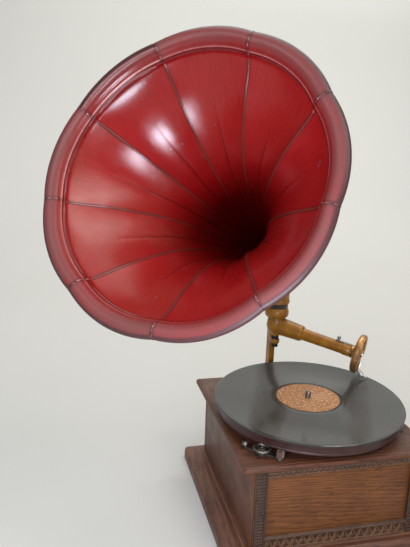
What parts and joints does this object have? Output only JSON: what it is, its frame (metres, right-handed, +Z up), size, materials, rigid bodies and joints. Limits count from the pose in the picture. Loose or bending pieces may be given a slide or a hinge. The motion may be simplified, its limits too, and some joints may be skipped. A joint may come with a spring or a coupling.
{
  "type": "horn gramophone",
  "caption": "Wind-up gramophone: square wooden case with carved front, spring motor, turntable with disc record, swinging tonearm and a large fluted red horn on a rear bracket.",
  "frame": {"origin": "on the flat underside, on the turntable's axis", "axes": "+Z up along the turntable spindle; -Y towards the carved front panel, +Y towards the horn bracket; +X to the right, where the winding crank is"},
  "size_m": [0.5178, 0.3948, 0.6091],
  "materials": {
    "dark_wood": "oiled, dark reddish brown",
    "case_wood": "stained and waxed",
    "panel_wood": "stained, straight horizontal grain",
    "carved_wood": "stained and waxed, dark in the recesses",
    "knob_wood": "turned and polished",
    "steel": "machined",
    "bright_steel": "nickel plated",
    "black_steel": "blackened",
    "iron": "painted grey",
    "brass": "satin",
    "fibre": "machined fibre",
    "dark_nickel": "dull worn nickel",
    "platter_paint": "dark red brown paint",
    "felt": "felt",
    "record_shellac": "grooved shellac",
    "label_paper": null,
    "leather": "dark leather",
    "ochre_enamel": "ochre enamel, worn at the edges",
    "soundbox_brass": "lacquered, tarnished",
    "diaphragm_mica": "aged mica",
    "red_enamel": "worn glossy red enamel",
    "red_enamel_dark": "red enamel rubbed dark"
  },
  "bodies": {
    "case": {"bottom_board": "dark_wood", "plinth_front": "case_wood", "plinth_back": "case_wood", "plinth_sides": "case_wood", "case_front": "panel_wood", "case_back": "case_wood", "case_left": "case_wood", "case_right": "case_wood", "moulding_top": "carved_wood", "moulding_bottom": "carved_wood", "moulding_stiles": "carved_wood", "top_board": "dark_wood", "board_screws": "steel", "motor_bolts": "steel", "motor_top_plate": "iron", "motor_bottom_plate": "iron", "motor_pillars": "steel", "crank_escutcheon": "brass", "bracket": "ochre_enamel", "bracket_screws": "steel", "arm_pivot_screw": "black_steel", "horn_gasket": "leather"},
    "turntable": {"spindle": "bright_steel", "worm_wheel": "fibre", "platter": "platter_paint", "turntable_mat": "felt", "record": "record_shellac", "record_labels": "label_paper"},
    "drive": {"drive_arbor": "steel", "drive_wheel": "brass"},
    "barrel": {"spring_barrel": "brass", "mainspring": "steel"},
    "winding": {"barrel_arbor": "steel", "ratchet_wheel": "steel"},
    "click": {"ratchet_click": "steel"},
    "governor": {"governor_shaft": "steel", "governor_weights": "brass", "governor_springs": "steel", "governor_disc": "steel"},
    "speed_lever": {"speed_lever": "iron"},
    "regulator": {"regulator_dial": "dark_nickel", "regulator_shaft": "steel"},
    "brake": {"brake_lever": "dark_nickel", "brake_pad": "leather"},
    "crank": {"crank_shaft": "steel", "crank_arm": "steel"},
    "crank_knob": {"crank_knob": "knob_wood"},
    "tonearm": {"arm_elbow": "ochre_enamel", "arm_tube": "ochre_enamel", "arm_latch": "dark_nickel"},
    "soundbox": {"soundbox_shell": "soundbox_brass", "soundbox_ring": "soundbox_brass", "diaphragm": "diaphragm_mica", "needle_arm": "bright_steel", "needle_screw": "bright_steel", "needle": "bright_steel"},
    "horn": {"horn_petals": "red_enamel", "horn_seams": "red_enamel_dark", "horn_rim_wire": "red_enamel_dark", "horn_elbow": "ochre_enamel"}
  },
  "joints": [
    {"name": "turntable_spin", "type": "hinge", "parent": "case", "child": "turntable", "pos_m": [0, 0, 0.1], "axis": [0, 0, 1], "continuous": true},
    {"name": "drive_spin", "type": "hinge", "parent": "case", "child": "drive", "pos_m": [0.02121, 0.02121, 0.09], "axis": [0, 0, 1], "continuous": true},
    {"name": "barrel_spin", "type": "hinge", "parent": "case", "child": "barrel", "pos_m": [0.05928, 0.03896, 0.078], "axis": [0, 0, 1], "continuous": true},
    {"name": "governor_spin", "type": "hinge", "parent": "case", "child": "governor", "pos_m": [-0.0232, -0.02, 0.0745], "axis": [0, 1, 0], "continuous": true},
    {"name": "crank_wind", "type": "hinge", "parent": "case", "child": "crank", "pos_m": [0.13, 0.03896, 0.101], "axis": [1, 0, 0], "continuous": true},
    {"name": "winding_spin", "type": "hinge", "parent": "case", "child": "winding", "pos_m": [0.05928, 0.03896, 0.11], "axis": [0, 0, 1], "continuous": true},
    {"name": "crank_knob_spin", "type": "hinge", "parent": "crank", "child": "crank_knob", "pos_m": [0.16, 0.03896, 0.026], "axis": [1, 0, 0], "continuous": true},
    {"name": "click_swing", "type": "hinge", "parent": "case", "child": "click", "pos_m": [0.0765, 0.02981, 0.0525], "axis": [0, 0, 1], "range_deg": [-6, 6], "stiffness_Nm_per_rad": 0.002},
    {"name": "regulator_turn", "type": "hinge", "parent": "case", "child": "regulator", "pos_m": [-0.093, -0.085, 0.14], "axis": [0, 0, 1], "range_deg": [-60, 60]},
    {"name": "speed_lever_swing", "type": "hinge", "parent": "case", "child": "speed_lever", "pos_m": [-0.045, -0.055, 0.072], "axis": [0, 0, 1], "range_deg": [-2.5, 2.5]},
    {"name": "brake_swing", "type": "hinge", "parent": "case", "child": "brake", "pos_m": [-0.093, -0.085, 0.138], "axis": [0, 0, 1], "range_deg": [-10, 3.2]},
    {"name": "tonearm_swing", "type": "hinge", "parent": "case", "child": "tonearm", "pos_m": [0, 0.136, 0.2194], "axis": [0, 0, 1], "range_deg": [-30, 32]},
    {"name": "soundbox_turn", "type": "hinge", "parent": "tonearm", "child": "soundbox", "pos_m": [0.08338, 0.06653, 0.20143], "axis": [0.758, -0.6315, -0.1633], "range_deg": [0, 170]},
    {"name": "horn_swivel", "type": "hinge", "parent": "case", "child": "horn", "pos_m": [0, 0.136, 0.265], "axis": [0, 0, 1], "range_deg": [-50, 90]}
  ],
  "couplings": [
    {"joint": "drive_spin", "follows": "turntable_spin", "ratio": -0.25},
    {"joint": "barrel_spin", "follows": "turntable_spin", "ratio": 0.041667},
    {"joint": "governor_spin", "follows": "turntable_spin", "ratio": 12},
    {"joint": "winding_spin", "follows": "crank_wind", "ratio": -0.5},
    {"joint": "speed_lever_swing", "follows": "regulator_turn", "ratio": 0.03}
  ]
}
